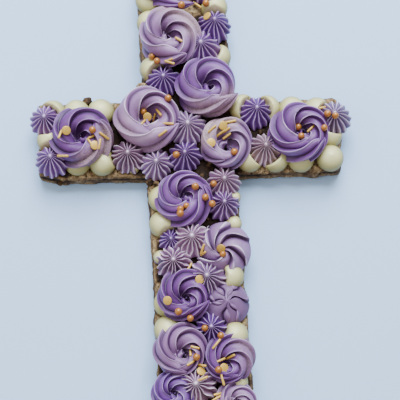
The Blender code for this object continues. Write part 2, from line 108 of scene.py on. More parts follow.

# Shades of icing: crease, body and crest colours; the crease colour is painted shade and the crest colour a
# painted highlight.
SHADES = {
    "icing_pale": ((0.055, 0.016, 0.072), (0.245, 0.120, 0.275), (0.720, 0.580, 0.760)),
    "icing_mid": ((0.036, 0.007, 0.058), (0.150, 0.050, 0.218), (0.600, 0.440, 0.700)),
    "icing_violet": ((0.032, 0.006, 0.052), (0.128, 0.037, 0.185), (0.580, 0.420, 0.680)),
    "icing_dark": ((0.026, 0.006, 0.050), (0.120, 0.034, 0.212), (0.560, 0.400, 0.700)),
    "icing_grey": ((0.050, 0.017, 0.064), (0.238, 0.124, 0.275), (0.720, 0.590, 0.760)),
    "icing_mauve": ((0.052, 0.014, 0.056), (0.242, 0.118, 0.230), (0.740, 0.590, 0.720)),
    "icing_rose": ((0.060, 0.020, 0.064), (0.300, 0.158, 0.285), (0.800, 0.660, 0.780)),
    "icing_blue": ((0.050, 0.020, 0.078), (0.230, 0.142, 0.285), (0.700, 0.600, 0.780)),
}

# Where the bar's crossing stands, from the cookie's low corner, the viewpoint from there, and how
# far the camera's lens is shifted.
CROSSING = (0.1198, 0.2246)
VIEWPOINT = (0.0, -0.215, 0.650)
CAMERA_SHIFT = (0.0147, 0.2459)

# Soft panels: name, place, size, power and colour. Then the light of the room.
PANELS = [
    ("sky_panel", (0.15, 1.25, 1.35), 1.4, 106.0, (0.82, 0.92, 1.0)),
    ("side_panel", (-1.1, -0.1, 1.1), 1.0, 6.0, (0.98, 0.99, 1.0)),
]
ROOM_COLOUR = (1.0, 0.95, 0.87, 1.0)
ROOM_STRENGTH = 0.63

# Rosettes: the tail in degrees and its reach, the number of ridges and their turn in degrees,
# the eye's offset in millimetres, its hollow, where the icing is tinted tan, in degrees, and how
# strongly, and how much paler than its shade the whole is.
ROSETTE_LOOKS = {
    "rosette_head": (-33, 1.80, 6, 0, (0.0, 0.0), 0.16, 0, 0.0, 0.0),
    "rosette_top": (-52, 0.88, 5, 10, (-2.0, 1.5), 0.16, 50, 0.9, -0.07),
    "rosette_upper_right": (-18, 1.06, 5, 20, (2.0, 1.5), 0.20, -75, 0.8, -0.05),
    "rosette_left_inner": (-14, 0.98, 4, 0, (2.0, 1.0), 0.28, -120, 0.4, -0.03),
    "rosette_left_arm": (47, 0.66, 5, 30, (-2.0, 0.0), 0.16, -40, 0.9, -0.13),
    "rosette_centre": (-95, 0.70, 4, 30, (1.0, -1.0), 0.28, 125, 1.7, -0.12),
    "rosette_right_arm": (-19, 0.80, 6, 15, (3.5, 2.0), 0.20, 0, 0.0, 0.0),
    "rosette_below_bar": (35, 0.75, 6, 0, (0.0, 4.0), 0.16, 0, 0.0, -0.06),
    "rosette_low_left": (-15, 0.95, 6, 0, (0.5, -3.0), 0.16, 0, 0.0, -0.10),
    "rosette_foot_left": (-75, 0.85, 6, 0, (3.0, -4.0), 0.18, 0, 0.0, -0.13),
    "rosette_foot_right": (-50, 0.80, 6, 0, (-4.0, -5.0), 0.18, 15, 0.5, -0.09),
    "rosette_end_left": (-20, 0.70, 6, 0, (0.0, 0.0), 0.16, 0, 0.0, 0.0),
    "rosette_end_right": (200, 0.70, 6, 0, (0.0, 0.0), 0.16, 0, 0.0, 0.0),
}

# Flowers: crests at the rim in degrees, sweep in degrees, the eye's offset in millimetres,
# whether the eye is hollow, depth, and how much paler than its shade the whole is.
FLOWER_LOOKS = {
    "flower_pinwheel": ((-160, -80, -38, 25, 76, 120), 105, (-2.5, -3.0), True, 0.44, -0.01),
    "flower_petals": ((20, 66, 112, 160, 182, 262, 305), 18, (0.0, 1.0), False, 0.34, -0.36),
}

# Star drops: fins, fin wave in radians, lean in millimetres, how much paler than its shade the
# whole is, and how strongly it is tinted tan.
STAR_LOOKS = {
    "star_head": (15, 0.05, 0.0, 1.0, 0.0, 0.0),
    "star_top_right": (15, 0.05, 0.5, 1.5, 0.0, 0.0),
    "star_top_middle": (14, 0.09, -0.5, 1.0, 0.10, 0.0),
    "star_top_left": (14, 0.08, 0.5, 1.0, 0.05, 0.0),
    "star_left_high": (15, 0.05, 0.5, 0.5, 0.24, 0.0),
    "star_left_low": (15, 0.06, 0.0, 1.0, 0.16, 0.0),
    "star_bar_left": (16, 0.08, 0.5, 0.5, -0.16, 0.10),
    "star_bar_inner": (14, 0.08, 0.0, 1.0, 0.09, 0.0),
    "star_cross": (16, 0.07, 0.5, 0.5, 0.20, 0.0),
    "star_cross_low": (14, 0.06, -0.5, 1.0, -0.05, 0.10),
    "star_bar_right": (14, 0.06, 0.5, 1.0, 0.05, 0.0),
    "star_bar_right_low": (16, 0.08, 0.0, 1.0, -0.36, 0.45),
    "star_right_end": (15, 0.05, -1.0, 0.5, -0.10, 0.0),
    "star_shaft_right": (15, 0.06, 0.5, 1.0, -0.02, 0.10),
    "star_shaft_right_low": (14, 0.08, 0.5, 0.5, -0.10, 0.10),
    "star_small": (14, 0.06, 0.0, 0.5, 0.05, 0.0),
    "star_shaft_middle": (16, 0.13, 0.5, 1.0, 0.10, 0.0),
    "star_shaft_left": (15, 0.14, 0.5, 0.5, -0.26, 0.0),
    "star_shaft_centre": (16, 0.11, -0.5, 1.0, 0.0, 0.0),
    "star_foot_centre": (14, 0.08, 0.0, 0.5, -0.02, 0.0),
    "star_foot_large": (16, 0.17, 0.0, 0.5, 0.02, 0.0),
}

# Small kisses that peep out between pieces: the piece beside them, offset and radius in millimetres.
DABS = [
    ("star_shaft_left", -9.5, 4.5, 5.5), ("star_shaft_right", 8.0, -11.5, 5.0),
    ("star_shaft_right_low", 7.5, -14.5, 6.0), ("rosette_foot_right", 5.5, -18.0, 8.0),
    ("star_bar_left", 4.0, -8.5, 4.5),
]

# Chunks that stand out of the crumb: the piece beside them, offset and size in millimetres,
# and whether they are dark chocolate.
CHUNKS = [
    ("rosette_left_arm", 3.5, 34.0, 4.0, True), ("rosette_left_arm", 0.5, 31.5, 2.6, False),
    ("rosette_left_inner", -5.0, 28.5, 4.4, False), ("rosette_left_inner", -9.0, 26.0, 3.0, True),
    ("rosette_left_inner", -14.0, 24.0, 2.4, False), ("star_left_low", 4.0, -14.5, 2.6, True),
    ("star_bar_inner", -5.5, -12.5, 3.0, True), ("star_bar_inner", -1.0, -13.5, 2.4, False),
    ("star_bar_right_low", 1.0, -16.5, 2.2, False), ("rosette_right_arm", -5.0, 28.0, 2.4, False),
    ("rosette_right_arm", 14.0, 27.5, 2.2, False), ("star_bar_right_low", -2.0, 15.5, 2.4, True),
    ("star_bar_right_low", 4.0, 14.0, 2.0, False),
]

CRUMB_SIZES = (0.0005, 0.0012)
CRUMB_SEED = 21
RAGGED = 0.42                   # how far a lump's knobs stand out, of its size
SQUAT = 0.75                    # how high a lump is, of its width

# Sprinkles: the piece that a group is set out from, and each one's kind, its offset in millimetres
# as seen from the viewpoint at a level a little above the cookie, and its turn in degrees, if any.
SPRINKLE_LEVEL = 0.006
SPRINKLE_SEED = 9
PEARL_SPREAD = (0.94, 1.06)     # how much the pearls' sizes differ
ROD_SPREAD = (0.8, 1.15)        # how much the rods' lengths differ
ROD_REST = 0.0016               # how far from its middle a rod rests on the icing
SPRINKLES = [
    ("rosette_left_arm", [("pearl", 8.0, 5.5), ("disc", -12.5, 6.5), ("disc", 9.5, -6.5),
        ("rod", -17.0, 3.0, 70), ("rod", 7.5, 1.0, 25), ("rod", 17.0, 0.5, -30), ("rod", 5.5, -3.0, -60),
        ("rod", 13.0, -5.0, 80), ("rod", -15.0, -14.5, -5)]),
    ("rosette_left_inner", [("disc", 0.5, 2.5), ("pearl", -2.5, 6.5), ("rod", 5.5, 0.5, 65),
        ("rod", 9.5, 4.5, -45), ("rod", -3.0, -2.0, 60), ("rod", 12.0, -11.0, 35),
        ("rod", 16.5, -4.0, -10), ("pearl", 17.0, 17.0)]),
    ("rosette_top", [("rod", 8.0, -3.0, -35), ("pearl", -14.0, -15.5), ("pearl", -10.0, -19.5),
        ("rod", -1.0, -22.0, 10), ("rod", -0.5, -24.0, -20), ("pearl", 10.0, 27.0)]),
    ("star_top_right", [("rod", -12.5, 15.5, -40), ("disc", -5.0, 6.5), ("pearl", -5.0, 17.5)]),
    ("rosette_centre", [("disc", -2.0, 14.0), ("disc", -11.5, 1.0), ("rod", -10.5, 12.0, 35),
        ("rod", -4.0, 8.0, 40), ("rod", 0.5, 10.5, 30), ("rod", 0.5, 3.5, 30), ("rod", 4.0, 17.0, 10),
        ("pearl", 6.0, -7.5)]),
    ("rosette_right_arm", [("pearl", -0.5, 5.0), ("pearl", 2.5, -2.0), ("pearl", 20.0, 3.5),
        ("rod", 9.5, 3.0, 40), ("rod", 18.5, 19.5, 10)]),
    ("star_right_end", [("pearl", -5.0, 1.5), ("pearl", 0.5, 1.0)]),
    ("star_cross_low", [("pearl", -6.5, 0.0)]),
    ("rosette_below_bar", [("pearl", 9.0, 10.0), ("pearl", 23.0, 12.0), ("pearl", 16.5, 2.0),
        ("pearl", 21.0, -4.5), ("pearl", 1.0, -4.5), ("pearl", -3.5, -6.5), ("pearl", -3.5, -10.0)]),
    ("flower_pinwheel", [("pearl", -0.5, -5.5), ("disc", -2.0, -0.5), ("rod", -16.0, -0.5, 60),
        ("rod", -15.5, -4.0, 25)]),
    ("rosette_low_left", [("rod", 4.5, 20.5, 55), ("disc", 12.0, 11.0), ("disc", -12.5, -4.0),
        ("pearl", -4.5, -12.5), ("pearl", 4.5, -18.0)]),
    ("star_foot_centre", [("pearl", -4.5, 0.0), ("pearl", 7.0, -7.0)]),
    ("rosette_foot_left", [("rod", 7.5, -2.0, -75), ("rod", 11.0, 1.0, -15), ("rod", 7.5, -10.5, 30),
        ("pearl", 11.5, -6.5)]),
    ("rosette_foot_right", [("rod", -9.5, 10.5, 50), ("rod", -7.0, -2.0, 20), ("disc", -4.5, -7.5),
        ("pearl", -9.0, -9.0), ("rod", -6.0, -16.5, -75)]),
    ("star_foot_large", [("disc", 4.0, 9.5), ("rod", 5.0, 13.5, -15), ("rod", 5.0, 4.0, 20)]),
    ("rosette_end_right", [("rod", -12.5, 6.5, 15), ("rod", -13.5, 3.5, 30)]),
    ("rosette_foot_right", [("rod", 0.5, 0.5, 15)]),
]


def clipped(value):
    """A value held between 0 and 1."""
    return min(1.0, max(0.0, value))


def smooth_step(low, high, value):
    """0 at low and before it, 1 at high and past it; low may be the larger of the two."""
    share = clipped((value - low) / (high - low))
    return share * share * (3.0 - 2.0 * share)


def mix(first, second, share):
    """The value a share of the way from first to second."""
    return first + (second - first) * share


def ripple(place, scale, seed=0.0):
    """Smooth noise from -1 to 1 at a place."""
    return noise.noise(Vector((place[0] * scale + seed, place[1] * scale, place[2] * scale - seed)))


# ---- where the solids are

def crossing():
    """The middle of the bar's crossing, on the cookie's top."""
    low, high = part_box("cookie")
    return Vector((low[0] + CROSSING[0], low[1] + CROSSING[1], high[2]))


def merged_copy(node):
    """A solid's mesh with its loose triangles joined."""
    body = bmesh.new()
    body.from_mesh(frame["nodes"][node].data)
    bmesh.ops.remove_doubles(body, verts=body.verts, dist=WELD)
    bmesh.ops.recalc_face_normals(body, faces=body.faces)
    return body


@functools.lru_cache(maxsize=None)
def meeting_point(node):
    """Where the ridges of a solid meet, which is its peak or its eye, and the height above its foot."""
    body = merged_copy(node)
    bmesh.ops.dissolve_limit(body, angle_limit=math.radians(0.1), verts=body.verts, edges=body.edges)
    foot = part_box(node)[0][2]
    raised = [vert for vert in body.verts if vert.co.z > foot + MM]
    pole = max(raised, key=lambda vert: len(vert.link_edges))
    place, rise, meeting = pole.co.copy(), pole.co.z - foot, len(pole.link_edges)
    body.free()
    if meeting < LEAST_RIDGES:
        raise RuntimeError("no ridges meet in " + node)
    return place, rise


def middle_of(node):
    """The middle of a piped piece, in plan."""
    place, _ = meeting_point(node)
    lean = EYE_LEANS.get(node, (0.0, 0.0))
    return Vector((place.x - MM * lean[0], place.y - MM * lean[1]))


def radius_of(node):
    """The radius of a piped piece, from the height of its peak or its eye."""
    _, rise = meeting_point(node)
    if node in STAR_LOOKS:
        return rise / STAR_HEIGHT
    if node in ROSETTE_LOOKS:
        return rise / (ROSETTE_EYE * ROSETTE_HEIGHT)
    hollow = FLOWER_LOOKS[node][3]
    return rise / (FLOWER_HEIGHT * (FLOWER_EYE if hollow else 1.0))


def beside(node, right, back):
    """A place in plan, in millimetres from the middle of a piece."""
    middle = middle_of(node)
    return Vector((middle.x + MM * right, middle.y + MM * back))


def side_slot(face):
    """Which side of a kiss a face belongs to, by its direction, or None."""
    step = 360.0 / KISS_SIDES
    turn = math.degrees(math.atan2(face.normal.y, face.normal.x)) / step - 0.5
    slot = round(turn)
    return slot % KISS_SIDES if abs(turn - slot) < 0.02 else None


def kiss_middles(node):
    """The middles of the kisses in a solid, each from the corners that its rings have kept."""
    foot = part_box(node)[0][2]
    body = merged_copy(node)
    found = []
    for vert in body.verts:
        for share, rise in KISS_RINGS:
            if abs(vert.co.z - foot - rise * KISS_HEIGHT) > SLOT_TOLERANCE:
                continue
            slots = {side_slot(face) for face in vert.link_faces if abs(face.normal.z) < 0.99}
            if None in slots or len(slots) != 2:
                continue
            low, high = sorted(slots)
            if high - low not in (1, KISS_SIDES - 1):
                continue
            corner = FULL_TURN * (high if high - low == 1 else 0) / KISS_SIDES
            reach = share * KISS_RADIUS
            middle = vert.co.xy - Vector((reach * math.cos(corner), reach * math.sin(corner)))
            if all((middle - known).length > 0.05 * KISS_RADIUS for known in found):
                found.append(middle)
    body.free()
    return found


# ---- mesh helpers

def skin(rows, columns, place):
    """A closed skin of rows by columns of points; place gives each point, its value of painted shade and
    tone, and its warmth.
    """
    body = bmesh.new()
    bmesh.ops.create_grid(body, x_segments=rows, y_segments=columns, size=0.5)
    shade_and_tone = body.verts.layers.float.new("shade_and_tone")
    warm = body.verts.layers.float.new("warm")
    for vert in body.verts:
        row = round((vert.co.x + 0.5) * rows)
        column = round((vert.co.y + 0.5) * columns) % columns
        vert.co, vert[shade_and_tone], vert[warm] = place(row, column)
    bmesh.ops.remove_doubles(body, verts=body.verts, dist=WELD)
    bmesh.ops.recalc_face_normals(body, faces=body.faces)
    return body


def add_object(name, body, material):
    """Make a finished piece from a bmesh and let it ride on the cake."""
    mesh = bpy.data.meshes.new(name)
    for face in body.faces:
        face.smooth = True
    body.to_mesh(mesh)
    body.free()
    mesh.materials.append(material)
    piece = bpy.data.objects.new(name, mesh)
    bpy.context.scene.collection.objects.link(piece)
    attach(piece, BODY)
    return piece


def add_piped(node, body, material):
    """Finish a piped piece, which stands for its solid and may catch sprinkles."""
    piece = add_object(node + "_piped", body, material)
    piece["catches"] = True
    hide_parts(node)


def append_body(target, source):
    """Move one bmesh into another, with the painted shade and tone of its points."""
    layer_to = target.verts.layers.float["shade_and_tone"]
    layer_from = source.verts.layers.float.get("shade_and_tone")
    copies = {}
    for vert in source.verts:
        copy = target.verts.new(vert.co)
        copy[layer_to] = vert[layer_from] if layer_from else 0.5
        copies[vert] = copy
    for face in source.faces:
        target.faces.new([copies[vert] for vert in face.verts])
    source.free()


# ---- materials

def new_material(name):
    """An empty material with its Principled shader and node tree."""
    paint = bpy.data.materials.new(name)
    paint.use_nodes = True
    return paint, paint.node_tree, paint.node_tree.nodes["Principled BSDF"]


def add_node(tree, kind, values=None, **settings):
    """A node with its settings and its unlinked input values."""
    made = tree.nodes.new(kind)
    for key, value in settings.items():
        setattr(made, key, value)
    for key, value in (values or {}).items():
        made.inputs[key].default_value = value
    return made


def ramp(tree, source, stops):
    """A colour ramp of (place, colour) stops on a value."""
    made = tree.nodes.new("ShaderNodeValToRGB")
    while len(made.color_ramp.elements) < len(stops):
        made.color_ramp.elements.new(1.0)
    for element, (place, colour) in zip(made.color_ramp.elements, stops):
        element.position = place
        element.color = (*colour, 1.0)
    tree.links.new(source, made.inputs["Fac"])
    return made.outputs["Color"]


def noise_value(tree, coordinates, scale, detail=3.0, roughness=0.55):
    """Smooth noise on the object's own coordinates."""
    made = add_node(tree, "ShaderNodeTexNoise", {"Scale": scale, "Detail": detail, "Roughness": roughness})
    tree.links.new(coordinates, made.inputs["Vector"])
    return made.outputs["Fac"]


def blend_colours(tree, share, first, second, mode="MIX"):
    """Mix two colours by a share; a colour may be a socket or a plain value."""
    made = add_node(tree, "ShaderNodeMix", data_type="RGBA", blend_type=mode)
    for name, value in (("Factor", share), ("A", first), ("B", second)):
        link_or_set(tree, made.inputs[name], value)
    return made.outputs["Result"]


def add_grain(tree, shader, height, strength, depth):
    """A fine bump on a shader's surface."""
    bump = add_node(tree, "ShaderNodeBump", {"Strength": strength, "Distance": depth})
    tree.links.new(height, bump.inputs["Height"])
    tree.links.new(bump.outputs["Normal"], shader.inputs["Normal"])


def add_softness(shader, weight, reach):
    """Light that soaks a little way into buttercream."""
    shader.inputs["Subsurface Weight"].default_value = weight
    shader.inputs["Subsurface Radius"].default_value = reach
    shader.inputs["Subsurface Scale"].default_value = 1.0


def grey(low, high):
    """Stops of a ramp from one grey to another over the middle of a noise."""
    return [(0.3, (low, low, low)), (0.7, (high, high, high))]


def link_or_set(tree, socket, value):
    """Link a socket to another, or give it a plain value."""
    if hasattr(value, "is_linked"):
        tree.links.new(value, socket)
    elif socket.type == "RGBA":
        socket.default_value = (*value, 1.0)
    else:
        socket.default_value = value


def icing_material(slot):
    """Buttercream: painted shade in dark creases, soft body, painted highlights on pale crests, faint
    mottling and a fine grain.
    """
    known = bpy.data.materials.get(slot + "_finish")
    if known:
        return known
    crease, body, crest = SHADES[slot]
    paint, tree, shader = new_material(slot + "_finish")
    place = add_node(tree, "ShaderNodeTexCoord").outputs["Object"]
    shade_and_tone = add_node(tree, "ShaderNodeAttribute", attribute_name="shade_and_tone").outputs["Fac"]
    # The ramp's dark crease colour paints shade into the creases and its pale crest colour paints highlights
    # on the crests.
    low = tuple(mix(a, b, 0.60) for a, b in zip(crease, body))
    high = tuple(mix(a, b, 0.22) for a, b in zip(body, crest))
    colour = ramp(tree, shade_and_tone, [(0.0, crease), (0.20, low), (0.44, body), (0.72, high), (0.90, crest)])
    tan = tuple(mix(value, part, 0.55) for value, part in zip(high, (0.42, 0.30, 0.20)))
    warm = add_node(tree, "ShaderNodeAttribute", attribute_name="warm").outputs["Fac"]
    grains = ramp(tree, noise_value(tree, place, 900.0, 3.0, 0.7),
                  [(0.36, (0.35, 0.35, 0.35)), (0.60, (1, 1, 1))])
    share = add_node(tree, "ShaderNodeMath", operation="MULTIPLY")
    tree.links.new(warm, share.inputs[0])
    tree.links.new(grains, share.inputs[1])
    colour = blend_colours(tree, share.outputs[0], colour, tan)
    mottle = ramp(tree, noise_value(tree, place, 150.0, 4.0), grey(0.88, 1.08))
    colour = blend_colours(tree, 1.0, colour, mottle, "MULTIPLY")
    tree.links.new(colour, shader.inputs["Base Color"])
    sheen = ramp(tree, noise_value(tree, place, 260.0), grey(0.40, 0.56))
    tree.links.new(sheen, shader.inputs["Roughness"])
    add_softness(shader, 0.06, (0.0030, 0.0018, 0.0026))
    shader.inputs["Specular IOR Level"].default_value = 0.35
    add_grain(tree, shader, noise_value(tree, place, 1100.0, 2.0), 0.25, 0.0003)
    return paint


def kiss_material():
    """Smooth ivory buttercream with a soft satin sheen, painted lighter towards the top and darker towards
    the foot as painted light and shade.
    """
    known = bpy.data.materials.get("icing_ivory_finish")
    if known:
        return known
    paint, tree, shader = new_material("icing_ivory_finish")
    place = add_node(tree, "ShaderNodeTexCoord").outputs["Object"]
    # The height up the kiss drives the colour: painted light on the top and painted shade towards the foot.
    high = add_node(tree, "ShaderNodeAttribute", attribute_name="shade_and_tone").outputs["Fac"]
    colour = ramp(tree, high, [(0.0, (0.13, 0.10, 0.034)), (0.25, (0.265, 0.230, 0.078)),
                               (0.60, (0.43, 0.392, 0.158)), (1.0, (0.77, 0.735, 0.38))])
    mottle = ramp(tree, noise_value(tree, place, 90.0),
                  [(0.3, (0.92, 0.92, 0.90)), (0.7, (1.06, 1.06, 1.06))])
    colour = blend_colours(tree, 1.0, colour, mottle, "MULTIPLY")
    tree.links.new(colour, shader.inputs["Base Color"])
    sheen = ramp(tree, noise_value(tree, place, 220.0), grey(0.36, 0.50))
    tree.links.new(sheen, shader.inputs["Roughness"])
    add_softness(shader, 0.15, (0.0040, 0.0030, 0.0020))
    add_grain(tree, shader, noise_value(tree, place, 700.0), 0.2, 0.0003)
    return paint


def cookie_material():
    """Baked crumb: mottled brown, with painted light and shade: paler on the risen grains, dark in the pits,
    the seam and the crowded gaps.
    """
    known = bpy.data.materials.get("cookie_finish")
    if known:
        return known
    paint, tree, shader = new_material("cookie_finish")
    place = add_node(tree, "ShaderNodeTexCoord").outputs["Object"]
    shade_and_tone = add_node(tree, "ShaderNodeAttribute", attribute_name="shade_and_tone").outputs["Fac"]
    crumb = ramp(tree, shade_and_tone, [(0.0, (0.020, 0.010, 0.006)), (0.28, (0.090, 0.050, 0.025)),
                               (0.52, (0.180, 0.117, 0.060)), (0.82, (0.350, 0.262, 0.150))])
    speck = ramp(tree, noise_value(tree, place, 520.0, 4.0, 0.75),
                 [(0.36, (0.30, 0.26, 0.24)), (0.50, (0.95, 0.95, 0.95)), (0.66, (1.70, 1.65, 1.50))])
    colour = blend_colours(tree, 1.0, crumb, speck, "MULTIPLY")
    broad = ramp(tree, noise_value(tree, place, 45.0, 3.0),
                 [(0.35, (0.78, 0.74, 0.70)), (0.65, (1.15, 1.12, 1.05))])
    colour = blend_colours(tree, 1.0, colour, broad, "MULTIPLY")
    tree.links.new(colour, shader.inputs["Base Color"])
    shader.inputs["Roughness"].default_value = 0.85
    shader.inputs["Specular IOR Level"].default_value = 0.25
    add_grain(tree, shader, noise_value(tree, place, 900.0, 5.0, 0.75), 0.8, 0.0008)
    return paint


def sugar_material(name, low, high, roughness):
    """Pearly sugar: two close tones in fine mottling under a soft gloss."""
    paint, tree, shader = new_material(name)
    place = add_node(tree, "ShaderNodeTexCoord").outputs["Object"]
    colour = ramp(tree, noise_value(tree, place, 520.0, 3.0, 0.6), [(0.32, low), (0.68, high)])
    tree.links.new(colour, shader.inputs["Base Color"])
    shader.inputs["Metallic"].default_value = 0.25
    shader.inputs["Roughness"].default_value = roughness
    shader.inputs["Coat Weight"].default_value = 0.25
    shader.inputs["Coat Roughness"].default_value = 0.25
    add_grain(tree, shader, noise_value(tree, place, 1500.0, 2.0), 0.25, 0.0002)
    return paint


# ---- cookie

def grain_at(place):
    """The fine grain of the cookie's top."""
    return ripple(place, 330.0, 3.0) * 0.55 + ripple(place, 800.0, 8.0) * 0.45


def crag_at(place):
    """The coarse crags of its cut sides."""
    return ripple(place, 150.0, 5.0) * 0.7 + ripple(place, 360.0, 9.0) * 0.5


def seam_at(place):
    """How deep the broken seam under its crust is, from 0 to 1; it also sets the painted shadow in the seam.
    """
    crack = CRACK_HEIGHT + 0.0010 * ripple(place, 60.0, 2.0)
    broken = smooth_step(-0.45, 0.10, ripple(place, 45.0, 7.0))
    return math.exp(-((place.z - crack) / CRACK_WIDTH) ** 2) * broken


def crowding_at(place, piped):
    """How many piped pieces stand close round a place."""
    return sum(smooth_step(1.45, 1.05, (place.xy - spot).length / reach) for spot, reach in piped)


def raise_crumb(body, top_relief, side_relief):
    """Grain on the top, crags and a seam on the sides, with painted shade in the pits, crevices and seam, and
    painted shade where piped pieces crowd.
    """
    shade_and_tone = body.verts.layers.float.new("shade_and_tone")
    body.normal_update()
    piped = [(middle_of(node), radius_of(node)) for node in [*ROSETTE_LOOKS, *FLOWER_LOOKS, *STAR_LOOKS]]
    for vert in body.verts:
        place = vert.co.copy()
        flat = smooth_step(0.55, 0.95, vert.normal.z)
        side = 1.0 - abs(vert.normal.z)
        grain, crag, seam = grain_at(place), crag_at(place), seam_at(place)
        move = top_relief * flat * grain
        move += side_relief * side * (crag - 0.9 * seam)
        if vert.normal.z < -0.6:
            move = 0.0
        # Tone and painted shade of the crumb: paler on risen grains and knobs, darker in pits and crevices,
        # and a painted shadow in the seam.
        crumb_tone_and_shade = 0.62 + 0.50 * grain if flat > 0.5 else 0.50 + 0.45 * crag - 0.75 * seam
        # Painted shade on the cookie's top in the gaps where piped pieces crowd round it.
        if flat > 0.0:
            crumb_tone_and_shade -= 0.75 * flat * smooth_step(0.9, 1.6, crowding_at(place, piped))
        vert[shade_and_tone] = clipped(crumb_tone_and_shade)
        vert.co += vert.normal * move
        vert.co.z = max(0.0, vert.co.z)


# ---- rosettes

RIDGE_SAMPLES = (0.0, 0.02, 0.05, 0.11, 0.22, 0.36, 0.50, 0.63, 0.73, 0.79, 0.85, 0.91, 0.96)
CREASE_AT = 0.79


def crest_height(phase, crease_at):
    """Height of the ribbon between one crest, at phase 0, and the next, at phase 1."""
    if phase <= crease_at:
        lip = 0.30 * math.exp(-phase / 0.028)
        return 0.70 * (1.0 - (phase / crease_at) ** 1.8) + lip
    return ((phase - crease_at) / (1.0 - crease_at)) ** 0.9


def crest_shade(phase, crease_at):
    """Painted shade of the ribbon: a thin pale lip as a painted highlight, an even face and a narrow dark
    crease of painted shade.
    """
    lip = 0.38 * math.exp(-min(phase, 1.0 - phase) / 0.028)
    face = 0.60 - 0.20 * min(1.0, phase / crease_at)
    crease = math.exp(-((phase - crease_at) / 0.10) ** 2)
    return clipped(face * (1.0 - 0.95 * crease) + lip)


def spread_ridges(ridges, seed, depth, uneven, samples_in):
    """Turn, phase and depth of every column of a ring of uneven ridges."""
    chance = random.Random(seed)
    shifts = [chance.uniform(-uneven, uneven) for _ in range(ridges)]
    depths = [depth * chance.uniform(0.80, 1.15) for _ in range(ridges)]
    shifts.append(shifts[0])
    columns = []
    for number in range(ridges):
        for phase in samples_in:
            turn = number + phase + mix(shifts[number], shifts[number + 1], phase)
            columns.append((turn / ridges, phase, depths[number]))
    return columns


ROPE = math.radians(565.0)      # how far round a rosette's rope goes
CURL = math.radians(215.0)      # the first part of it, which coils up the eye
START = math.radians(30.0)      # over which the rope swells from nothing
TAIL = math.radians(62.0)       # over which it thins out at its end
UNEVEN_RIDGES = 0.20            # how far a ridge may stand off its even place, of the gap
UNEVEN_FINS = 0.12

# Shares of a rosette's radius and height: the rope's distance from the middle and half width as
# the eye starts, how much both grow round the eye, its half height in the eye and in the outer
# turn, and how high its middle lies in the eye, in the outer turn and at the tail's tip.
EYE_PATH = 0.03
EYE_PATH_GROWTH = 0.11
EYE_WIDTH = 0.17
EYE_WIDTH_GROWTH = 0.08
ROPE_TALL = (0.34, 0.60)
ROPE_LIFT = (0.22, 0.42)
TAIL_LIFT = 0.76


def pipe_rosette(node, looks, depth, rows):
    """A rope piped anticlockwise from the middle, whose ridges keep their directions."""
    tail, tail_reach, ridges, turn, eye, hollow, tan_at, tan, pale = looks
    middle, radius = middle_of(node), radius_of(node)
    height = ROSETTE_HEIGHT * radius
    end = math.radians(tail)
    columns = spread_ridges(ridges, node, depth, UNEVEN_RIDGES, RIDGE_SAMPLES)
    seed = 3.7 * len(node) + 11.0 * middle.x

    def place(row, column):
        around, phase, deep = columns[column]
        travel = ROPE * row / rows
        angle = end - ROPE + travel
        opened = smooth_step(0.25 * CURL, CURL, travel)
        closing = max(0.0, (travel - ROPE + TAIL) / TAIL)
        begun = math.sqrt(min(1.0, travel / START))
        left = max(0.0, 1.0 - closing ** 1.6) ** 0.8
        path = radius * mix(EYE_PATH + EYE_PATH_GROWTH * travel / CURL, 0.5 + 0.5 * hollow, opened)
        path += radius * 0.03 * ripple((math.cos(angle), math.sin(angle), travel), 0.8, seed + 5.0)
        path = mix(path, tail_reach * radius, closing ** 1.3)
        width = radius * mix(EYE_WIDTH + EYE_WIDTH_GROWTH * travel / CURL, 0.5 - 0.5 * hollow, opened)
        width *= begun * left
        tall = height * mix(*ROPE_TALL, opened) * begun * left
        lift = height * mix(mix(*ROPE_LIFT, opened), TAIL_LIFT, smooth_step(0.0, 1.0, closing))
        roll = FULL_TURN * around + math.radians(turn) - angle - math.pi
        roll += 0.10 * ripple((1.6 * angle, 0.2 * column, 0.0), 1.0, seed)
        crest = crest_height(phase, CREASE_AT)
        wobble = ripple((math.cos(angle), math.sin(angle), 0.5 * math.cos(roll)), 1.7, seed)
        swell = 1.0 - deep * (1.0 - crest) + 0.03 * wobble
        out = path - math.cos(roll) * width * swell
        up = lift + math.sin(roll) * tall * swell
        if math.sin(roll) < 0.0 and math.cos(roll) > 0.0:
            inner = max(0.0, path - width * swell)
            funnel = opened * left
            out = mix(out, inner * math.cos(roll), funnel)
            up = mix(up, lift + 0.55 * math.sin(roll) * tall, funnel)
        spot = Vector((out * math.cos(angle), out * math.sin(angle), 0.0))
        warm = tan * smooth_step(0.1, 0.9, math.cos(math.atan2(spot.y, spot.x) - math.radians(tan_at)))
        warm = min(1.0, warm * smooth_step(0.35, 0.75, spot.length / radius))
        share = max(0.0, 1.0 - spot.length / radius)
        spot.x += middle.x + MM * eye[0] * share
        spot.y += middle.y + MM * eye[1] * share
        spot.z = COOKIE_TOP + max(0.0, up)
        # Its colour value is painted shade: a painted highlight on each crest's lip and painted shade in the
        # crease, plus the piece's paleness.
        return spot, clipped(crest_shade(phase, CREASE_AT) + pale), warm

    return skin(rows, len(columns), place)


# ---- flowers

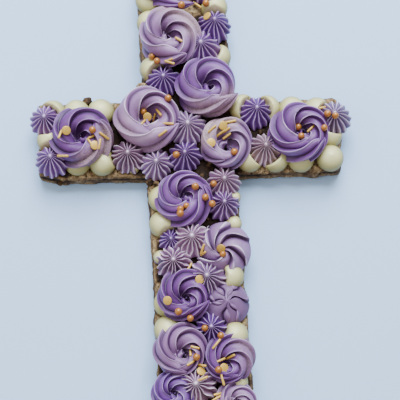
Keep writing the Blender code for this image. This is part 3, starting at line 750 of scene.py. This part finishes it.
# Profiles run from the middle of the top, out and down to the foot, and back in under it.
RAISED_PROFILE = [
    (0.0, 1.0), (0.04, 0.99), (0.09, 0.965), (0.16, 0.94), (0.24, 0.91), (0.33, 0.88), (0.43, 0.84),
    (0.53, 0.79), (0.63, 0.72), (0.72, 0.64), (0.80, 0.55), (0.87, 0.45), (0.93, 0.35), (0.97, 0.25),
    (1.0, 0.15), (0.99, 0.07), (0.94, 0.02), (0.86, 0.0), (0.0, 0.0)]
HOLLOW_PROFILE = [
    (0.0, 0.22), (0.04, 0.24), (0.08, 0.34), (0.12, 0.50), (0.17, 0.66), (0.23, 0.79), (0.30, 0.89),
    (0.38, 0.95), (0.47, 0.97), (0.56, 0.93), (0.65, 0.86), (0.74, 0.76), (0.82, 0.64), (0.89, 0.50),
    (0.95, 0.36), (0.99, 0.22), (1.0, 0.12), (0.97, 0.04), (0.88, 0.0), (0.0, 0.0)]
PETAL_SAMPLES = (
    0.0, 0.02, 0.05, 0.11, 0.20, 0.32, 0.45, 0.58, 0.70, 0.80, 0.86, 0.89, 0.92, 0.955, 0.985)
PETAL_CREASE_AT = 0.89
FLOWER_STEP = 3                 # rows between two points of a profile
PETAL_HEIGHT = 0.70             # of the radius


def puffed_height(phase):
    """Height of a puffed petal that ends in a thin lip over a narrow groove."""
    groove = math.exp(-((phase - PETAL_CREASE_AT) / 0.045) ** 2)
    lip = math.exp(-min(phase, 1.0 - phase) / 0.02)
    return (0.66 + 0.14 * math.sin(math.pi * phase)) * (1.0 - 0.7 * groove) + 0.34 * lip


def pipe_flower(node, looks):
    """A flower of broad petals, hollow or puffed, between thin crests that curl clockwise outwards."""
    crests, sweep, eye, hollow, depth, pale = looks
    middle, radius = middle_of(node), radius_of(node)
    height = PETAL_HEIGHT * radius
    profile = HOLLOW_PROFILE if hollow else RAISED_PROFILE
    last = FLOWER_STEP * (len(profile) - 1)
    turns = [math.radians(angle) for angle in crests]
    turns.append(turns[0] + FULL_TURN)
    seed = 7.1 * len(node)

    def place(row, column):
        number, step = divmod(column, len(PETAL_SAMPLES))
        phase = PETAL_SAMPLES[step]
        before, share = divmod(row, FLOWER_STEP)
        share /= FLOWER_STEP
        after = min(before + 1, len(profile) - 1)
        out = mix(profile[before][0], profile[after][0], share)
        up = mix(profile[before][1], profile[after][1], share)
        crest = crest_height(phase, PETAL_CREASE_AT) if hollow else puffed_height(phase)
        ramped = smooth_step(0.03, 0.40, out) * mix(1.0, 0.35, smooth_step(0.60, 0.92, row / last))
        cut = depth * ramped * (1.0 - crest)
        angle = mix(turns[number], turns[number + 1], phase)
        angle += math.radians(sweep) * max(0.0, 1.0 - out) ** 1.3
        angle += (0.12 if hollow else 0.22) * math.sin(6.0 * out + 2.0 * number) * smooth_step(0.05, 0.3, out)
        reach = 1.0 + 0.05 * ripple((number * 3.3, 0.0, 2.0), 1.0, seed)
        spread = radius * out * reach * (1.0 - 0.30 * cut)
        share = max(0.0, 1.0 - out)
        spot = Vector((middle.x + MM * eye[0] * share + spread * math.cos(angle),
                       middle.y + MM * eye[1] * share + spread * math.sin(angle),
                       COOKIE_TOP + height * up * (1.0 - cut)))
        # Painted highlights on the crests and painted shade in the creases, even in the middle; a puffed
        # flower's painted shade is softened.
        shade = mix(0.6, crest_shade(phase, PETAL_CREASE_AT), smooth_step(0.02, 0.15, out))
        shade = shade if hollow else mix(shade, 0.62, 0.45)
        return spot, clipped(shade + pale), 0.0

    return skin(last, len(PETAL_SAMPLES) * len(crests), place)


# ---- star drops

FIN_SAMPLES = (0.0, 0.05, 0.14, 0.28, 0.50, 0.72, 0.86, 0.95)
STAR_PROFILE = [(0.0, 1.0), (0.035, 0.990), (0.07, 0.965), (0.12, 0.935), (0.20, 0.900), (0.30, 0.855),
                (0.41, 0.800), (0.52, 0.735), (0.62, 0.660), (0.71, 0.580), (0.79, 0.500), (0.86, 0.420),
                (0.92, 0.335), (0.965, 0.250), (0.99, 0.170), (1.0, 0.110), (0.985, 0.060), (0.94, 0.020),
                (0.86, 0.0), (0.0, 0.0)]


def fin_height(phase, round_share):
    """Height of a fin: thin and sharp where round_share is 0, a round lobe where it is 1."""
    away = 2.0 * min(phase, 1.0 - phase)
    return mix((1.0 - away) ** 1.7, math.sqrt(1.0 - 0.98 * away * away), round_share)


def pipe_star(node, looks, depth):
    """A drop piped straight down through a fine star tip."""
    ridges, wave, lean_right, lean_back, pale, tan = looks
    middle, radius = middle_of(node), radius_of(node)
    lean = (MM * lean_right, MM * lean_back)
    height = STAR_HEIGHT * radius
    columns = spread_ridges(ridges, node, depth, UNEVEN_FINS, FIN_SAMPLES)
    last = len(STAR_PROFILE) - 1
    seed = 5.3 * len(node) + 17.0 * middle.y

    def place(row, column):
        around, phase, deep = columns[column]
        out, up = STAR_PROFILE[row]
        along = row / last
        fin = fin_height(phase, 0.8 * smooth_step(0.45, 0.9, along))
        ramped = smooth_step(0.02, 0.30, out) * mix(1.0, 0.55, smooth_step(0.35, 0.85, along))
        cut = deep * ramped * (1.0 - fin)
        number = round(around * ridges) % ridges
        sway = wave * ripple((number * 3.1, 4.0 * out, 0.0), 1.0, seed) * smooth_step(0.1, 0.6, out)
        sway += wave * 0.8 * math.sin(9.0 * along + seed + 1.3 * number) * smooth_step(0.3, 0.9, out)
        reach = 1.0 + 0.12 * ripple((number * 5.7, 0.0, 1.0), 1.0, seed) * smooth_step(0.4, 1.0, out)
        angle = FULL_TURN * around + sway
        spread = radius * out * (1.0 - cut) * reach
        spot = Vector((spread * math.cos(angle), spread * math.sin(angle), 0.0))
        spot.x += middle.x + lean[0] * up * up
        spot.y += middle.y + lean[1] * up * up
        spot.z = COOKIE_TOP + height * up * (1.0 - 0.55 * cut)
        # Painted shade in the grooves between the fins, with paler fins and peak, plus the piece's paleness.
        shade = mix(0.92, fin_height(phase, 0.1), smooth_step(0.03, 0.18, out))
        return spot, clipped(0.08 + pale + (0.92 - pale) * shade), tan

    return skin(last, len(columns), place)


# ---- kisses

KISS_PROFILE = [(0.0, 1.0), (0.05, 0.992), (0.12, 0.970), (0.22, 0.940), (0.34, 0.900), (0.46, 0.845),
                (0.58, 0.780), (0.70, 0.695), (0.81, 0.590), (0.90, 0.470), (0.965, 0.340), (1.0, 0.215),
                (0.995, 0.110), (0.95, 0.030), (0.88, 0.0), (0.0, 0.0)]
KISS_COLUMNS = 40
FAR_OFF = [(Vector((1.0, 1.0)), 0.01)]  # a neighbour too far off to press on a kiss


def pipe_kiss(middle, rims, drops):
    """A smooth round drop, low where a rosette or flower leans on it, pressed flat under a star drop."""
    last = len(KISS_PROFILE) - 1
    seed = 40.0 * middle.x + 70.0 * middle.y
    nearest = min((middle - rim).length / reach for rim, reach in rims)
    tall = mix(0.62, 1.0, smooth_step(0.80, 1.15, nearest))

    def place(row, column):
        out, up = KISS_PROFILE[row]
        angle = FULL_TURN * column / KISS_COLUMNS
        uneven = 1.0 + 0.03 * ripple((math.cos(angle), math.sin(angle), up), 1.2, seed)
        spot = Vector((middle.x + KISS_RADIUS * out * uneven * math.cos(angle),
                       middle.y + KISS_RADIUS * out * uneven * math.sin(angle), 0.0))
        pressed = max(smooth_step(1.02, 0.86, (spot.xy - drop).length / reach) for drop, reach in drops)
        spot.z = COOKIE_TOP + KISS_HEIGHT * up * tall * mix(1.0, 0.22, pressed)
        # The height up the drop is its painted light and shade: lighter at the top, darker towards the foot.
        return spot, up, 0.0

    return skin(last, KISS_COLUMNS, place)


# ---- sprinkles

def pearl_body(size):
    """A round sugar pearl."""
    body = bmesh.new()
    bmesh.ops.create_icosphere(body, subdivisions=3, radius=size)
    return body


def rounded_drum(size, length, segments, softening):
    """A drum along Z whose rims are softened."""
    body = bmesh.new()
    bmesh.ops.create_cone(
        body, cap_ends=True, segments=segments, radius1=size, radius2=size, depth=length)
    rims = [edge for edge in body.edges if abs(edge.verts[0].co.z - edge.verts[1].co.z) < WELD]
    bmesh.ops.bevel(
        body, geom=rims, offset=softening, segments=2, profile=0.5, affect="EDGES", material=-1)
    return body


def disc_body(size, thickness):
    """A flat confetti disc with softened edges."""
    return rounded_drum(size, thickness, 32, 0.28 * thickness)


def rod_body(length, size):
    """A short sugar rod with rounded ends, lying along X."""
    body = rounded_drum(size, length, 12, 0.5 * size)
    bmesh.ops.rotate(body, cent=(0, 0, 0), matrix=Matrix.Rotation(math.pi / 2.0, 3, "Y"), verts=body.verts)
    return body


def icing_surface():
    """All the piped pieces and the cookie as one surface to drop things onto."""
    points, faces = [], []
    for piece in bpy.data.objects:
        if not piece.get("catches"):
            continue
        start = len(points)
        points += [vert.co.copy() for vert in piece.data.vertices]
        faces += [[start + corner for corner in face.vertices] for face in piece.data.polygons]
    return BVHTree.FromPolygons(points, faces)


def seen_at(surface, spot):
    """Where the line of sight through a spot, a little above the cookie, meets the icing."""
    viewpoint = crossing() + Vector(VIEWPOINT)
    aim = Vector((spot.x, spot.y, COOKIE_TOP + SPRINKLE_LEVEL))
    hit, _, _, _ = surface.ray_cast(viewpoint, (aim - viewpoint).normalized())
    if hit is None:
        raise RuntimeError("a sprinkle misses the cake")
    return hit


def drop(surface, x, y):
    """Where a plumb line at x, y meets a surface, and the slope there; both are None if it misses."""
    hit, normal, _, _ = surface.ray_cast(Vector((x, y, DROP_FROM)), Vector((0, 0, -1)))
    return hit, normal


def land(surface, x, y, rest):
    """Where something lands when it is dropped at x, y, and the slope there, averaged over its size."""
    hits = []
    for dx, dy in ((0, 0), (rest, 0), (-rest, 0), (0, rest), (0, -rest)):
        hit, normal = drop(surface, x + dx, y + dy)
        if hit is not None:
            hits.append((hit, normal))
    height = max(hit.z for hit, _ in hits)
    slope = sum((normal for _, normal in hits), Vector((0, 0, 0))).normalized()
    return Vector((x, y, height)), slope


# ---- settings

class CakeIcing(bpy.types.PropertyGroup):
    """How the buttercream is piped."""
    rosette_depth: bpy.props.FloatProperty(
        name="Rosette ridge depth", description="Depth of the creases between a rosette's ridges",
        default=0.38, min=0.0, max=0.6, subtype="FACTOR")
    rosette_rows: bpy.props.IntProperty(
        name="Rosette rows", description="Steps along a rosette's rope", default=130, min=40, max=240)
    star_depth: bpy.props.FloatProperty(
        name="Star fin depth", description="Depth of the grooves between a star's fins",
        default=0.30, min=0.0, max=0.6, subtype="FACTOR")


class CakeCookie(bpy.types.PropertyGroup):
    """How the cookie is baked."""
    voxel: bpy.props.FloatProperty(
        name="Crumb mesh", description="Mesh size of the cookie", default=0.00125, min=0.0009, max=0.005,
        unit="LENGTH")
    top_relief: bpy.props.FloatProperty(
        name="Top relief", description="Height of the grain on the cookie's top", default=0.0005,
        min=0.0, max=0.002, unit="LENGTH")
    side_relief: bpy.props.FloatProperty(
        name="Side relief", description="Depth of the crags on the cut sides", default=0.0014,
        min=0.0, max=0.004, unit="LENGTH")
    crumbs: bpy.props.IntProperty(
        name="Crumbs", description="How many small crumbs lie on the cookie", default=420, min=0, max=2000)


class CakeSprinkles(bpy.types.PropertyGroup):
    """Sizes and colours of the sprinkles."""
    pearl: bpy.props.FloatProperty(
        name="Pearl radius", description="Radius of a sugar pearl", default=0.0027, unit="LENGTH")
    disc: bpy.props.FloatProperty(
        name="Disc radius", description="Radius of a confetti disc", default=0.0034, unit="LENGTH")
    disc_thickness: bpy.props.FloatProperty(
        name="Disc thickness", description="Thickness of a confetti disc", default=0.0012, unit="LENGTH")
    rod: bpy.props.FloatProperty(
        name="Rod length", description="Length of a sugar rod", default=0.0085, unit="LENGTH")
    rod_radius: bpy.props.FloatProperty(
        name="Rod radius", description="Radius of a sugar rod", default=0.00095, unit="LENGTH")
    copper: bpy.props.FloatVectorProperty(
        name="Pearl colour", description="Lit colour of the pearls", subtype="COLOR",
        default=(0.44, 0.165, 0.022), min=0.0, max=1.0)
    gold: bpy.props.FloatVectorProperty(
        name="Gold colour", description="Lit colour of discs and rods", subtype="COLOR",
        default=(0.66, 0.40, 0.065), min=0.0, max=1.0)


class CakeStage(bpy.types.PropertyGroup):
    """Floor, light and camera."""
    floor: bpy.props.FloatVectorProperty(
        name="Floor colour", description="Colour of the pale floor", subtype="COLOR",
        default=(0.48, 0.68, 1.0), min=0.0, max=1.0)
    lens: bpy.props.FloatProperty(
        name="Lens", description="Focal length in millimetres on a 36 mm sensor", default=77.9, min=10.0)
    tilt: bpy.props.FloatProperty(
        name="Tilt", description="Lean of the camera from straight down", default=math.radians(8.0),
        unit="ROTATION")
    roll: bpy.props.FloatProperty(
        name="Roll", description="Roll of the camera", default=math.radians(-1.87), unit="ROTATION")


# ---- operators

class CAKE_OT_cookie(bpy.types.Operator):
    """Bake the cookie: copy its solid and raise crumb and crags on it"""
    bl_idname = "cake.cookie"
    bl_label = "Cookie"

    def execute(self, context):
        settings = context.scene.cake_cookie
        body = merged_copy("cookie")
        rough = bpy.data.meshes.new("cookie_rough")
        body.to_mesh(rough)
        body.free()
        holder = bpy.data.objects.new("cookie_rough", rough)
        context.scene.collection.objects.link(holder)
        remesh = holder.modifiers.new("crumb", "REMESH")
        remesh.mode = "VOXEL"
        remesh.voxel_size = settings.voxel
        graph = context.evaluated_depsgraph_get()
        fine = bmesh.new()
        fine.from_mesh(bpy.data.meshes.new_from_object(holder.evaluated_get(graph)))
        bpy.data.objects.remove(holder)
        raise_crumb(fine, settings.top_relief, settings.side_relief)
        piece = add_object("cookie_crumb", fine, cookie_material())
        piece["catches"] = True
        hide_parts("cookie")
        return {"FINISHED"}


class CAKE_OT_rosettes(bpy.types.Operator):
    """Pipe the rosettes"""
    bl_idname = "cake.rosettes"
    bl_label = "Rosettes"

    def execute(self, context):
        settings = context.scene.cake_icing
        for node, looks in ROSETTE_LOOKS.items():
            body = pipe_rosette(node, looks, settings.rosette_depth, settings.rosette_rows)
            add_piped(node, body, icing_material(SLOTS[node]))
        return {"FINISHED"}


class CAKE_OT_flowers(bpy.types.Operator):
    """Pipe the two flowers with broad petals"""
    bl_idname = "cake.flowers"
    bl_label = "Flowers"

    def execute(self, context):
        for node, looks in FLOWER_LOOKS.items():
            add_piped(node, pipe_flower(node, looks), icing_material(SLOTS[node]))
        return {"FINISHED"}


class CAKE_OT_stars(bpy.types.Operator):
    """Pipe the star drops"""
    bl_idname = "cake.stars"
    bl_label = "Star drops"

    def execute(self, context):
        settings = context.scene.cake_icing
        for node, looks in STAR_LOOKS.items():
            add_piped(node, pipe_star(node, looks, settings.star_depth), icing_material(SLOTS[node]))
        return {"FINISHED"}


class CAKE_OT_kisses(bpy.types.Operator):
    """Pipe the ivory kisses round the edge"""
    bl_idname = "cake.kisses"
    bl_label = "Kisses"

    def execute(self, context):
        rims = [(middle_of(node), ROSETTE_FOOT * radius_of(node)) for node in [*ROSETTE_LOOKS, *FLOWER_LOOKS]]
        drops = [(middle_of(node), radius_of(node)) for node in STAR_LOOKS]
        for node in sorted(name for name in frame["nodes"] if name.startswith("kisses_")):
            middles = kiss_middles(node)
            if not middles:
                raise RuntimeError("no kiss found in " + node)
            whole = bmesh.new()
            whole.verts.layers.float.new("shade_and_tone")
            for middle in middles:
                append_body(whole, pipe_kiss(middle, rims, drops))
            add_piped(node, whole, kiss_material())
        return {"FINISHED"}


class CAKE_OT_dabs(bpy.types.Operator):
    """Pipe the small kisses that peep out between pieces"""
    bl_idname = "cake.dabs"
    bl_label = "Small kisses"

    def execute(self, context):
        for number, (node, right, back, size) in enumerate(DABS):
            body = pipe_kiss(Vector((0.0, 0.0)), FAR_OFF, FAR_OFF)
            spot = beside(node, right, back)
            scale = MM * size / KISS_RADIUS
            for vert in body.verts:
                vert.co.z -= COOKIE_TOP
            bmesh.ops.scale(body, vec=(scale, scale, scale), verts=body.verts)
            bmesh.ops.translate(body, vec=(spot.x, spot.y, COOKIE_TOP), verts=body.verts)
            piece = add_object(f"small_kiss_{number + 1}", body, kiss_material())
            piece["catches"] = True
        return {"FINISHED"}


class CAKE_OT_crumbs(bpy.types.Operator):
    """Break chunks out of the cookie and leave crumbs on it"""
    bl_idname = "cake.crumbs"
    bl_label = "Chunks and crumbs"

    def execute(self, context):
        settings = context.scene.cake_cookie
        cookie = bpy.data.objects["cookie_crumb"]
        surface = BVHTree.FromObject(cookie, context.evaluated_depsgraph_get())
        chance = random.Random(CRUMB_SEED)
        whole = bmesh.new()
        whole.verts.layers.float.new("shade_and_tone")
        for number, (node, right, back, size, dark) in enumerate(CHUNKS):
            self.lump(whole, surface, beside(node, right, back), MM * size, 10.0 * number, 3, dark)
        low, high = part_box("cookie")
        left = settings.crumbs
        while left > 0:
            spot = Vector((chance.uniform(low[0], high[0]), chance.uniform(low[1], high[1])))
            if drop(surface, spot.x, spot.y)[0] is None:
                continue
            self.lump(whole, surface, spot, chance.uniform(*CRUMB_SIZES), 7.0 * left, 1, left % 3 == 0)
            left -= 1
        piece = add_object("chunks_and_crumbs", whole, cookie_material())
        return {"FINISHED"}

    def lump(self, whole, surface, spot, size, seed, steps, dark):
        """A ragged lump, half sunk in the cookie where it lies over it."""
        hit, _ = drop(surface, spot.x, spot.y)
        if hit is None:
            hit, _, _, _ = surface.find_nearest(Vector((spot.x, spot.y, COOKIE_TOP)))
        body = bmesh.new()
        shade_and_tone = body.verts.layers.float.new("shade_and_tone")
        bmesh.ops.create_icosphere(body, subdivisions=steps, radius=size)
        for vert in body.verts:
            knob = ripple(vert.co / size, 1.1, seed) + 0.5 * ripple(vert.co / size, 2.6, seed)
            vert.co *= 1.0 + RAGGED * knob
            vert.co.z *= SQUAT
            # Paler on a lump's knobs and darker in its hollows as painted shade; dark chocolate lumps are
            # darker overall.
            vert[shade_and_tone] = clipped(0.12 + 0.35 * knob if dark else 0.45 + 0.9 * knob)
        bmesh.ops.translate(body, vec=hit + Vector((0.0, 0.0, 0.25 * size)), verts=body.verts)
        append_body(whole, body)


class CAKE_OT_sprinkles(bpy.types.Operator):
    """Drop the pearls, discs and rods on the icing"""
    bl_idname = "cake.sprinkles"
    bl_label = "Sprinkles"

    def execute(self, context):
        settings = context.scene.cake_sprinkles
        copper, gold = tuple(settings.copper), tuple(settings.gold)
        finishes = {
            "pearl": sugar_material("copper_pearl", tuple(0.7 * part for part in copper), copper, 0.34),
            "disc": sugar_material("gold_disc", tuple(0.8 * part for part in gold), gold, 0.42),
            "rod": sugar_material("gold_rod", tuple(0.75 * part for part in gold), gold, 0.42),
        }
        whole = {kind: bmesh.new() for kind in finishes}
        for body in whole.values():
            body.verts.layers.float.new("shade_and_tone")
        surface = icing_surface()
        choices = random.Random(SPRINKLE_SEED)
        for node, rows in SPRINKLES:
            for kind, right, back, *turned in rows:
                seen = seen_at(surface, beside(node, right, back))
                body, rest, perch = self.shape(kind, settings, choices)
                spot, slope = land(surface, seen.x, seen.y, rest)
                up = Vector((0, 0, 1))
                upright = up.rotation_difference(up if kind == "pearl" else slope)
                spin = Matrix.Rotation(math.radians(turned[0] if turned else 0.0), 4, "Z")
                place = Matrix.Translation(spot + perch * slope)
                body.transform(place @ upright.to_matrix().to_4x4() @ spin)
                append_body(whole[kind], body)
        for kind, body in whole.items():
            bmesh.ops.recalc_face_normals(body, faces=body.faces)
            piece = add_object("sprinkles_" + kind, body, finishes[kind])
        return {"FINISHED"}

    def shape(self, kind, settings, choices):
        """The body of a sprinkle, how far out it rests on the icing and how high its middle lies."""
        if kind == "pearl":
            body = pearl_body(settings.pearl * choices.uniform(*PEARL_SPREAD))
            return body, 0.5 * settings.pearl, 0.35 * settings.pearl
        if kind == "disc":
            body = disc_body(settings.disc, settings.disc_thickness)
            return body, 0.6 * settings.disc, 0.2 * settings.disc_thickness
        body = rod_body(settings.rod * choices.uniform(*ROD_SPREAD), settings.rod_radius)
        return body, ROD_REST, 0.0


class CAKE_OT_stage(bpy.types.Operator):
    """Lay the floor and set the light and the camera"""
    bl_idname = "cake.stage"
    bl_label = "Stage"

    def execute(self, context):
        settings = context.scene.cake_stage
        body = bmesh.new()
        bmesh.ops.create_grid(body, x_segments=1, y_segments=1, size=2.5)
        mesh = bpy.data.meshes.new("floor")
        body.to_mesh(mesh)
        body.free()
        paint, tree, shader = new_material("floor_finish")
        place = add_node(tree, "ShaderNodeTexCoord").outputs["Object"]
        tint = tuple(settings.floor)
        colour = ramp(tree, noise_value(tree, place, 3.0, 2.0),
                      [(0.3, tuple(0.97 * part for part in tint)), (0.7, tint)])
        tree.links.new(colour, shader.inputs["Base Color"])
        shader.inputs["Roughness"].default_value = 0.9
        shader.inputs["Specular IOR Level"].default_value = 0.2
        mesh.materials.append(paint)
        floor = bpy.data.objects.new("floor", mesh)
        context.scene.collection.objects.link(floor)
        for panel in PANELS:
            self.light(context, *panel)
        world = bpy.data.worlds.new("soft_room")
        world.use_nodes = True
        room = world.node_tree.nodes["Background"].inputs
        room["Color"].default_value, room["Strength"].default_value = ROOM_COLOUR, ROOM_STRENGTH
        context.scene.world = world
        self.camera(context, settings)
        return {"FINISHED"}

    def light(self, context, name, place, size, power, colour):
        """A large soft lamp that looks at the cake."""
        lamp = bpy.data.lights.new(name, "AREA")
        lamp.shape = "SQUARE"
        lamp.size = size
        lamp.energy = power
        lamp.color = colour
        holder = bpy.data.objects.new(name, lamp)
        holder.location = place
        holder.rotation_euler = (Vector((0, 0, 0)) - Vector(place)).to_track_quat("-Z", "Y").to_euler()
        context.scene.collection.objects.link(holder)

    def camera(self, context, settings):
        """The camera stands in front of the bar's crossing and looks down."""
        eye = bpy.data.cameras.new("cake_camera")
        eye.sensor_width = 36.0
        eye.lens = settings.lens
        eye.shift_x, eye.shift_y = CAMERA_SHIFT
        holder = bpy.data.objects.new("cake_camera", eye)
        lean = Matrix.Rotation(settings.tilt, 4, "X") @ Matrix.Rotation(settings.roll, 4, "Z")
        holder.matrix_world = Matrix.Translation(crossing() + Vector(VIEWPOINT)) @ lean
        context.scene.collection.objects.link(holder)
        context.scene.camera = holder


class CAKE_PT_panel(bpy.types.Panel):
    """Lists the steps of the cake and their settings"""
    bl_idname = "CAKE_PT_panel"
    bl_label = "Cookie cake"
    bl_space_type = "VIEW_3D"
    bl_region_type = "UI"
    bl_category = "Cake"

    def draw(self, context):
        for group in GROUPS:
            box = self.layout.box()
            box.label(text=group.__doc__.rstrip("."))
            held = getattr(context.scene, GROUPS[group])
            for field in group.__annotations__:
                box.prop(held, field)
        for step in STEPS:
            self.layout.operator(step.bl_idname)


GROUPS = {CakeIcing: "cake_icing", CakeCookie: "cake_cookie", CakeSprinkles: "cake_sprinkles",
          CakeStage: "cake_stage"}
STEPS = [CAKE_OT_cookie, CAKE_OT_crumbs, CAKE_OT_kisses, CAKE_OT_dabs, CAKE_OT_rosettes, CAKE_OT_flowers,
         CAKE_OT_stars, CAKE_OT_sprinkles, CAKE_OT_stage]


def register():
    """Register the settings, the steps and the panel."""
    for group, field in GROUPS.items():
        bpy.utils.register_class(group)
        setattr(bpy.types.Scene, field, bpy.props.PointerProperty(type=group))
    for step in STEPS + [CAKE_PT_panel]:
        bpy.utils.register_class(step)


def unregister():
    """Take the panel, the steps and the settings out again."""
    for step in [CAKE_PT_panel] + STEPS[::-1]:
        bpy.utils.unregister_class(step)
    for group, field in GROUPS.items():
        delattr(bpy.types.Scene, field)
        bpy.utils.unregister_class(group)


def main():
    """Make everything in order."""
    register()
    bpy.ops.cake.cookie()
    bpy.ops.cake.crumbs()
    bpy.ops.cake.kisses()
    bpy.ops.cake.dabs()
    bpy.ops.cake.rosettes()
    bpy.ops.cake.flowers()
    bpy.ops.cake.stars()
    bpy.ops.cake.sprinkles()
    bpy.ops.cake.stage()


if __name__ == "__main__":
    main()
